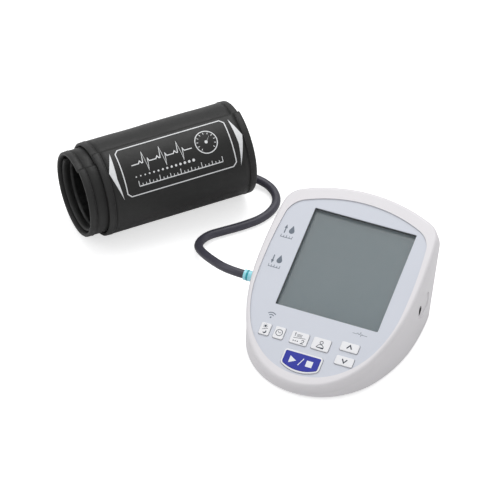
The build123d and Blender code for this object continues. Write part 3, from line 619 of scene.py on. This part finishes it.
class BPM_OT_keys(bpy.types.Operator):
    """Keys, their finish and the marks on them"""

    bl_idname = "bpm.keys"
    bl_label = "Keys"

    def execute(self, context):
        settings = context.scene.bp_case
        white = moulded("key white", tuple(settings.key_white), 0.32, 0.2)
        for node in ("light_key", "clock_key", "memory_key", "id_key", "up_key", "down_key", "start_key"):
            paint(node, white)
        paint("start_key_insert", moulded("start blue", tuple(settings.start_blue), 0.42, 0.0))
        ink = Finish("key ink", tuple(settings.key_ink), 0.5).mottle(400.0, 0.08).material
        light = Finish("start mark", (0.80, 0.82, 0.86), 0.4).mottle(400.0, 0.02).material

        # sun over a moon, with a slash between them
        sun = [disc(-0.4, 2.3, 0.95)]
        for i in range(8):
            a = 2 * pi * i / 8
            ray = [(-0.4 + reach * cos(a), 2.3 + reach * sin(a)) for reach in (1.35, 1.9)]
            sun.append(stroke(ray, 0.32))
        slash = stroke([(-2.2, -0.9), (2.2, 0.9)], 0.35)
        outer = arc_path(0.4, -2.4, 1.5, -160, 60, 18)
        inner = arc_path(-0.15, -1.75, 1.25, -110, 20, 12)
        moon = polygon(outer + list(reversed(inner)))
        face_mark(
            "mark_light", [*sun, slash, moon], -0.0367, -0.0671, KEY_TOP, "light_key_body", ink,
        )

        # clock with two hands
        dial = stroke(arc_path(0, 0, 2.6, 0, 345, 28) + [(2.6, 0.0)], 0.5)
        hands = stroke([(-1.2, 0.9), (0.0, -0.2), (1.5, 0.3)], 0.42)
        face_mark("mark_clock", [dial, hands], -0.0250, -0.0671, KEY_TOP, "clock_key_body", ink)

        # memory banks one and two
        one = stroke([(-4.6, 3.0), (-3.9, 3.6), (-3.9, 0.9)], 0.5)
        rule = stroke([(-4.9, -0.6), (4.9, 0.6)], 0.35)
        two = stroke(arc_path(3.4, -1.9, 0.95, 170, -30, 10) + [(2.4, -4.0), (4.5, -4.0)], 0.5)
        bars = [stroke([(-2.6, 1.1 + 0.9 * i), (1.6, 1.1 + 0.9 * i)], 0.34) for i in range(3)]
        dots = [disc(-4.0 + 1.7 * i, -2.9, 0.5) for i in range(3)]
        face_mark(
            "mark_memory", [one, rule, two, *bars, *dots], -0.0084, -0.0670, KEY_TOP, "memory_key_body",
            ink,
        )

        # user: head and shoulders
        head = stroke(arc_path(0, 1.5, 1.25, 0, 345, 22) + [(1.25, 1.5)], 0.5)
        shoulders = stroke(
            [(-2.7, -3.0)] + arc_path(0, -3.0, 2.7, 180, 0, 20) + [(2.7, -3.0), (-2.7, -3.0)], 0.5,
        )
        face_mark("mark_user", [head, shoulders], 0.0094, -0.0670, KEY_TOP, "id_key_body", ink)

        # up and down
        rise = stroke([(-2.0, -1.5), (0.0, 1.6), (2.0, -1.5)], 0.95)
        face_mark("mark_up", [rise], 0.0313, -0.0628, KEY_TOP, "up_key_body", ink)
        fall = stroke([(-2.0, 1.5), (0.0, -1.6), (2.0, 1.5)], 0.95)
        face_mark("mark_down", [fall], 0.0314, -0.0750, KEY_TOP, "down_key_body", ink)

        # start and stop
        play = polygon([(-9.4, 3.3), (-9.4, -2.7), (-3.9, 0.3)])
        bar = stroke([(-1.5, -2.9), (1.5, 3.5)], 0.7)
        stop = polygon([(4.2, -2.3), (9.4, -2.3), (9.4, 2.9), (4.2, 2.9)])
        face_mark(
            "mark_start", [play, bar, stop], 0.0, -0.0860, START_KEY_TOP, "start_key_body",
            light,
        )
        return {"FINISHED"}


class BPM_OT_plate_marks(bpy.types.Operator):
    """Print on the face plate: signs beside and under the window"""

    bl_idname = "bpm.plate_marks"
    bl_label = "Plate marks"

    def execute(self, context):
        ink = Finish("plate ink", tuple(context.scene.bp_case.ink), 0.5).mottle(300.0, 0.06).material

        # upper and lower pressure: an arrow beside a filled drop, with a scale below
        for name, v, way in (("mark_upper", 0.0160, 1), ("mark_lower", -0.0110, -1)):
            arrow = polygon([(-4.3, way * 1.0), (-1.7, way * 1.0), (-3.0, way * 4.2)])
            shaft = stroke([(-3.0, -way * 3.4), (-3.0, way * 1.2)], 0.9)
            drop = polygon([(2.3, 4.6)] + arc_path(2.3, -0.6, 2.2, 30, -210, 18))
            rule = stroke([(-4.8, -7.0), (4.8, -7.0)], 0.5)
            ticks = [
                stroke([(-4.6 + 2.3 * i, -7.0), (-4.6 + 2.3 * i, -5.4 if i % 2 else -4.9)], 0.45)
                for i in range(5)
            ]
            shapes = [raised(shape, 3.2) for shape in (arrow, shaft, drop, rule, *ticks)]
            face_mark(name, shapes, -0.0500, v, 0.0, "monitor", ink)

        # radio link: a dot under two arcs
        near = stroke(arc_path(0, -2.4, 2.4, 40, 140, 12), 0.7)
        far = stroke(arc_path(0, -2.4, 4.3, 45, 135, 14), 0.7)
        link = [disc(0, -2.4, 0.7), near, far]
        face_mark("mark_link", link, -0.0364, -0.0539, 0.0, "monitor", ink)

        # pulse: a trace with one beat
        beat = stroke(
            [
                (-6.0, -0.2), (-2.6, -0.2), (-1.9, 0.7), (-1.0, -0.2), (-0.4, -0.2), (0.2, 1.9), (1.0, -1.5),
                (1.6, 0.4), (2.0, -0.2), (6.0, -0.2),
            ],
            0.36,
        )
        face_mark("mark_pulse", [beat], 0.0347, -0.0497, 0.0, "monitor", ink)
        return {"FINISHED"}


class BPM_OT_inside(bpy.types.Operator):
    """Board, pump, valve, cells and the other hidden pieces"""

    bl_idname = "bpm.inside"
    bl_label = "Inside"

    def execute(self, context):
        steel = metal("plated steel", (0.58, 0.58, 0.60), 0.32, (1, 1, 8))
        bright = metal("nickel plate", (0.70, 0.70, 0.72), 0.22)
        dark = moulded("dark moulding", (0.02, 0.02, 0.022), 0.45)
        soft = rubber("silicone", (0.30, 0.31, 0.33), 0.6)
        board = board_finish()
        finishes = {
            "pump_motor": steel, "exhaust_valve": steel, "case_screws": steel, "board_screws": steel,
            "radio_module": bright, "battery_contacts": bright,
            "pump_head": dark, "air_manifold": dark, "buzzer": dark, "board_chips": dark,
            "pressure_sensor": dark, "dc_jack": dark, "air_socket": dark,
            "pump_cradle": soft, "keypad_mat": soft, "pump_tube": soft, "sensor_tube": soft,
            "main_board": board, "aa_cells": cell_finish(),
        }
        for node, material in finishes.items():
            paint(node, material)
        return {"FINISHED"}


# Hose and plug


class BPM_OT_hose(bpy.types.Operator):
    """Air hose with its plug"""

    bl_idname = "bpm.hose"
    bl_label = "Hose and plug"

    def execute(self, context):
        settings = context.scene.bp_hose
        line = bpy.data.curves.new("air_hose_line", "CURVE")
        line.dimensions = "3D"
        line.resolution_u = 24
        line.bevel_depth = settings.diameter / 2
        line.bevel_resolution = 8
        line.use_fill_caps = True
        route = [
            (-0.04496, 0.08683, 0.0081),
            (-0.03954, 0.09272, 0.0081),
            (-0.03074, 0.09741, 0.0072),
            (-0.01874, 0.09821, 0.0052),
            (-0.00774, 0.09331, 0.0042),
            (-0.00034, 0.08391, 0.0038),
            (0.00176, 0.07211, 0.0037),
            (-0.00244, 0.05731, 0.0037),
            (-0.01284, 0.04381, 0.0037),
            (-0.02584, 0.03081, 0.0037),
            (-0.03424, 0.02161, 0.0043),
            (-0.03684, 0.00931, 0.0065),
            (-0.03284, -0.00269, 0.0105),
            (-0.01484, -0.01919, 0.0190),
            (0.00516, -0.03119, 0.0250),
            (0.01918, -0.03119, 0.0250),
        ]
        spline = line.splines.new("NURBS")
        spline.points.add(len(route) - 1)
        for point, place in zip(spline.points, route):
            point.co = (*place, 1)
        spline.order_u = 3
        spline.use_endpoint_u = True
        hose = bpy.data.objects.new("air_hose_line", line)
        context.scene.collection.objects.link(hose)
        line.materials.append(rubber("hose rubber", tuple(settings.colour), 0.42))
        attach(hose, "cuff_set")
        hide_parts("air_hose")
        teal = Finish("teal plug", tuple(context.scene.bp_case.teal), 0.30)
        teal.mottle(60.0, 0.03).rough(200.0, 0.05).grain(2500.0, 0.1)
        teal.set(Subsurface_Weight=0.15, Subsurface_Scale=0.002)
        paint("air_plug", teal.material)
        paint("plug_o_ring", rubber("plug ring", (0.02, 0.34, 0.40), 0.35))
        return {"FINISHED"}


# Cuff


def band_point(settings, turn, depth, along):
    """Point in the rolled band: degrees from the top, depth under the skin, metres from the right end."""
    half = int(turn // 180)
    step = (settings.thickness + settings.gap) / 2
    radius = settings.radius - step * half - depth
    angle = radians(90 - turn)
    height = radius * sin(angle) - step * (half % 2)
    return ROLL_END + ROLL_FRONT * radius * cos(angle) + UP * height + ROLL_ALONG * along


def band_mesh(name, point, turns, alongs, thickness, rows):
    """Closed band from a grid of turns and alongs; point(turn, depth, along) places each corner."""
    points, faces = [], []
    width = len(alongs)
    for turn in turns:
        for depth in rows:
            for along in alongs:
                points.append(point(turn, depth * thickness, along))
    layer = len(rows) * width

    def index(i, k, j):
        return i * layer + k * width + j

    count, deep = len(turns), len(rows)
    low, side, end = deep - 1, width - 1, count - 1
    for i in range(count - 1):
        m = i + 1
        for j in range(width - 1):
            n = j + 1
            faces.append((index(i, 0, j), index(i, 0, n), index(m, 0, n), index(m, 0, j)))
            faces.append((index(i, low, j), index(m, low, j), index(m, low, n), index(i, low, n)))
        for k in range(deep - 1):
            faces.append((index(i, k, 0), index(m, k, 0), index(m, k + 1, 0), index(i, k + 1, 0)))
            faces.append((index(i, k, side), index(i, k + 1, side), index(m, k + 1, side), index(m, k, side)))
    for k in range(deep - 1):
        m = k + 1
        for j in range(width - 1):
            n = j + 1
            faces.append((index(0, k, j), index(0, m, j), index(0, m, n), index(0, k, n)))
            faces.append((index(end, k, j), index(end, k, n), index(end, m, n), index(end, m, j)))
    return mesh_from(name, points, faces)


def spread(low, high, step):
    """Even places from low to high, about a step apart."""
    count = max(2, int(round(abs(high - low) / step)) + 1)
    return [low + (high - low) * i / (count - 1) for i in range(count)]


class BPM_OT_cuff(bpy.types.Operator):
    """Turns of the rolled band"""

    bl_idname = "bpm.cuff"
    bl_label = "Cuff turns"

    def execute(self, context):
        settings = context.scene.bp_cuff
        cloth = woven("brushed cover", tuple(settings.fabric), 0.50, 0.0007, 0.00010, 0.02)
        lining = woven("lining", tuple(settings.lining), 0.36, 0.0005, 0.00008, 0.0)

        def wrap_point(turn, depth, along):
            ripple = 0.00025 * sin(along * 95 + turn * 0.05) * sin(turn * 0.045)
            return band_point(settings, turn, depth + max(0.0, ripple), along)

        def core_point(turn, depth, along):
            crease = 0.0006 * sin(turn * 0.35 + 60 * along) * (0.5 + 0.5 * sin(turn * 0.11 + 150 * along))
            return band_point(settings, turn, depth + max(0.0, crease), along)

        def band(name, point, turns, shift, pitch):
            """Mesh of one piece of the band, from one edge tape to the other."""
            alongs = spread(shift - settings.binding, shift - settings.width + settings.binding, pitch)
            return band_mesh(name, point, turns, alongs, settings.thickness, BAND_ROWS)

        outer = band("cuff_wrap", wrap_point, spread(*OUTER_TURNS, 2.5), OUTER_SHIFT, 0.004)
        wrap = piece("cuff_wrap", outer, "cuff_set", cloth)
        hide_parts("cuff_outer_turn")
        inner = band("cuff_middle", wrap_point, spread(*MIDDLE_TURNS, 3), MIDDLE_SHIFT, 0.005)
        middle = piece("cuff_middle", inner, "cuff_set", cloth)
        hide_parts("cuff_inner_turn")
        core = band("cuff_core", core_point, spread(*CORE_TURNS, 2), CORE_SHIFT, 0.003)
        inside = piece("cuff_core", core, "cuff_set", lining)
        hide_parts("cuff_core_cover", "cuff_bladder", "cuff_core_lining")
        paint("hook_patch", woven("hook tape", (0.02, 0.02, 0.022), 0.7, 0.0011, 0.0003, 0.1))
        paint("cuff_port", rubber("port rubber", (0.03, 0.03, 0.035), 0.5))
        return {"FINISHED"}


class BPM_OT_cuff_binding(bpy.types.Operator):
    """Edge tape at both ends of every turn, with its stitches"""

    bl_idname = "bpm.cuff_binding"
    bl_label = "Cuff bindings"

    def execute(self, context):
        settings = context.scene.bp_cuff
        tape = woven("binding tape", (0.011, 0.011, 0.0105), 0.5, 0.0009, 0.00015, 0.03)
        width = settings.binding
        # The tape's folded section: depth under the band's skin, and way in from its edge
        section = [
            (0.00035, width), (-0.00012, width - 0.0003), (-0.00018, width * 0.5), (-0.00005, 0.0008),
            (0.0006, 0.0001), (0.0013, 0.0), (0.0020, 0.0001), (0.00265, 0.0008), (0.00278, width * 0.5),
            (0.00272, width - 0.0003), (0.00225, width),
        ]
        size = len(section)
        spans = [(OUTER_TURNS, OUTER_SHIFT), (MIDDLE_TURNS, MIDDLE_SHIFT), (CORE_TURNS, CORE_SHIFT)]
        for side, name in ((0, "cuff_right_tape"), (1, "cuff_left_tape")):
            points, faces = [], []
            for span, shift in spans:
                edge = shift - (settings.width if side else 0.0)
                inward = 1 if side else -1
                turns = spread(*span, TAPE_STEP)
                start = len(points)
                for turn in turns:
                    for depth, off in section:
                        points.append(band_point(settings, turn, depth, edge + inward * off))
                for i in range(len(turns) - 1):
                    for k in range(size):
                        a, b = start + i * size + k, start + i * size + (k + 1) % size
                        quad = (a, b, b + size, a + size)
                        faces.append(quad if side else tuple(reversed(quad)))
                for i in (0, len(turns) - 1):
                    faces.append(tuple(start + i * size + k for k in range(size)))
            mesh = mesh_from(name, points, faces)
            made = piece(name, mesh, "cuff_set", tape)
            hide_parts("cuff_left_binding" if side else "cuff_right_binding")
        self.stitches(settings)
        return {"FINISHED"}

    def stitches(self, settings):
        """Rows of stitches round the outer and the middle turn."""
        thread = Finish("stitch thread", (0.035, 0.035, 0.035), 0.6)
        thread.mottle(900.0, 0.2).grain(3000.0, 0.3)
        points, faces = [], []
        inset = settings.binding - STITCH_INSET
        left = inset - settings.width
        rows = [(10, 376, -inset), (10, 376, left), (384, 736, MIDDLE_SHIFT + left)]
        for begin, end, along in rows:
            turn = begin
            while turn < end:
                self.stitch(points, faces, settings, turn, along)
                turn += STITCH_PITCH
        mesh = mesh_from("cuff_stitches", points, faces)
        piece("cuff_stitches", mesh, "cuff_set", thread.material)

    def stitch(self, points, faces, settings, begin, along):
        """One raised thread between two needle holes."""
        start = len(points)
        sides = THREAD_SIDES
        # Share of the stitch's length, and depth of the thread's middle under the band's skin
        bends = ((0.0, 0.00006), (0.2, -0.00026), (0.8, -0.00026), (1.0, 0.00006))
        for part, depth in bends:
            for k in range(sides):
                a = 2 * pi * k / sides
                under = depth - THREAD_RADIUS * sin(a)
                aside = along + THREAD_RADIUS * cos(a)
                points.append(band_point(settings, begin + STITCH_TURN * part, under, aside))
        for i in range(len(bends) - 1):
            for k in range(sides):
                a, b = start + sides * i + k, start + sides * i + (k + 1) % sides
                faces.append((a, b, b + sides, a + sides))
        for ring in (start, start + sides * (len(bends) - 1)):
            faces.append(tuple(ring + k for k in range(sides)))


class BPM_OT_cuff_print(bpy.types.Operator):
    """Fitting marks printed on the outer turn"""

    bl_idname = "bpm.cuff_print"
    bl_label = "Cuff print"

    def execute(self, context):
        settings = context.scene.bp_cuff
        ink = Finish("cuff print", tuple(settings.print_white), 0.55).mottle(500.0, 0.05).grain(
            1500.0, 0.2, 0.00008,
        ).material
        points, faces = gather(self.pattern())
        flat = mesh_from("cuff_print", [(p.x, p.y, 0) for p in points], faces)
        build = bmesh.new()
        build.from_mesh(flat)
        position = -CUFF_PRINT_REACH
        while position < CUFF_PRINT_REACH:
            everything = build.verts[:] + build.edges[:] + build.faces[:]
            bmesh.ops.bisect_plane(build, geom=everything, plane_co=(0, position, 0), plane_no=(0, 1, 0))
            position += CUFF_PRINT_STEP
        for vertex in build.verts:
            along = -settings.width / 2 + vertex.co.x / 1000
            turn = CUFF_PRINT_TURN - vertex.co.y / (1000 * settings.radius) * 180 / pi
            vertex.co = band_point(settings, turn, -CUFF_PRINT_LIFT, along)
        build.normal_update()
        build.to_mesh(flat)
        build.free()
        piece("cuff_print", flat, "cuff_set", ink, smooth=False)
        return {"FINISHED"}

    def pattern(self):
        """Shapes in millimetres: x along the roll from its middle, y up round the roll."""
        shapes = []
        # long frame with cut corners
        frame_path = [(-44, -20), (44, -20), (47, -17), (47, 17), (44, 20), (-44, 20), (-47, 17), (-47, -17)]
        shapes.append(stroke(frame_path, 0.9, closed=True))
        # scale of lengths
        shapes.append(stroke([(-36, -13.5), (36, -13.5)], 0.8))
        for i in range(25):
            tall = 4.4 if i % 6 == 0 else (3.2 if i % 3 == 0 else 2.0)
            shapes.append(stroke([(-36 + 3 * i, -13.5), (-36 + 3 * i, -13.5 + tall)], 0.55))
        # round gauge with a pointer
        shapes.append(stroke(arc_path(27, 5.5, 9.2, 0, 348, 40) + [(36.2, 5.5)], 0.8))
        for i in range(11):
            a = radians(225 - 27 * i)
            shapes.append(stroke([(27 + r * cos(a), 5.5 + r * sin(a)) for r in (6.6, 8.1)], 0.55))
        shapes.append(polygon([(26.2, 4.6), (27.9, 6.1), (31.6, 10.6)]))
        shapes.append(disc(27, 5.5, 1.3))
        # steady trace with three beats
        trace = [(-38, 4.0)]
        for i in range(3):
            x = -32 + 15 * i
            trace += [(x, 4.0), (x + 1.4, 6.0), (x + 2.6, 4.0), (x + 3.6, 4.0)]
            trace += [(x + 5.2, 12.6), (x + 7.0, -2.6), (x + 8.4, 6.2), (x + 9.4, 4.0)]
        trace.append((14, 4.0))
        shapes.append(stroke(trace, 0.8))
        # rows of dots under the trace
        for i in range(14):
            shapes.append(disc(-37 + 3.8 * i, -5.6, 0.55 + 0.05 * i, 14))
        # slender leaf arrows at both ends of the frame
        shapes.append(polygon([(51.0, 19), (57.5, 3), (56.0, -3), (50.5, -21), (52.5, -3)]))
        shapes.append(polygon([(-51.0, 19), (-52.5, -3), (-50.5, -21), (-56.0, -3), (-57.5, 3)]))
        return shapes


STEPS = (
    BPM_OT_stage,
    BPM_OT_case,
    BPM_OT_display,
    BPM_OT_keys,
    BPM_OT_plate_marks,
    BPM_OT_inside,
    BPM_OT_hose,
    BPM_OT_cuff,
    BPM_OT_cuff_binding,
    BPM_OT_cuff_print,
)


class BPM_PT_monitor(bpy.types.Panel):
    """Settings and steps of the monitor"""

    bl_idname = "BPM_PT_monitor"
    bl_label = "Blood Pressure Monitor"
    bl_space_type = "VIEW_3D"
    bl_region_type = "UI"
    bl_category = "Monitor"

    def draw(self, context):
        for name, group in GROUPS.items():
            box = self.layout.box()
            for prop in group.__annotations__:
                box.prop(getattr(context.scene, name), prop)
        for step in STEPS:
            self.layout.operator(step.bl_idname)


def register():
    for name, group in GROUPS.items():
        bpy.utils.register_class(group)
        setattr(bpy.types.Scene, name, bpy.props.PointerProperty(type=group))
    for step in STEPS:
        bpy.utils.register_class(step)
    bpy.utils.register_class(BPM_PT_monitor)


def unregister():
    bpy.utils.unregister_class(BPM_PT_monitor)
    for step in reversed(STEPS):
        bpy.utils.unregister_class(step)
    for name, group in GROUPS.items():
        delattr(bpy.types.Scene, name)
        bpy.utils.unregister_class(group)


def main():
    register()
    for step in STEPS:
        group, name = step.bl_idname.split(".")
        getattr(getattr(bpy.ops, group), name)()


if __name__ == "__main__":
    main()
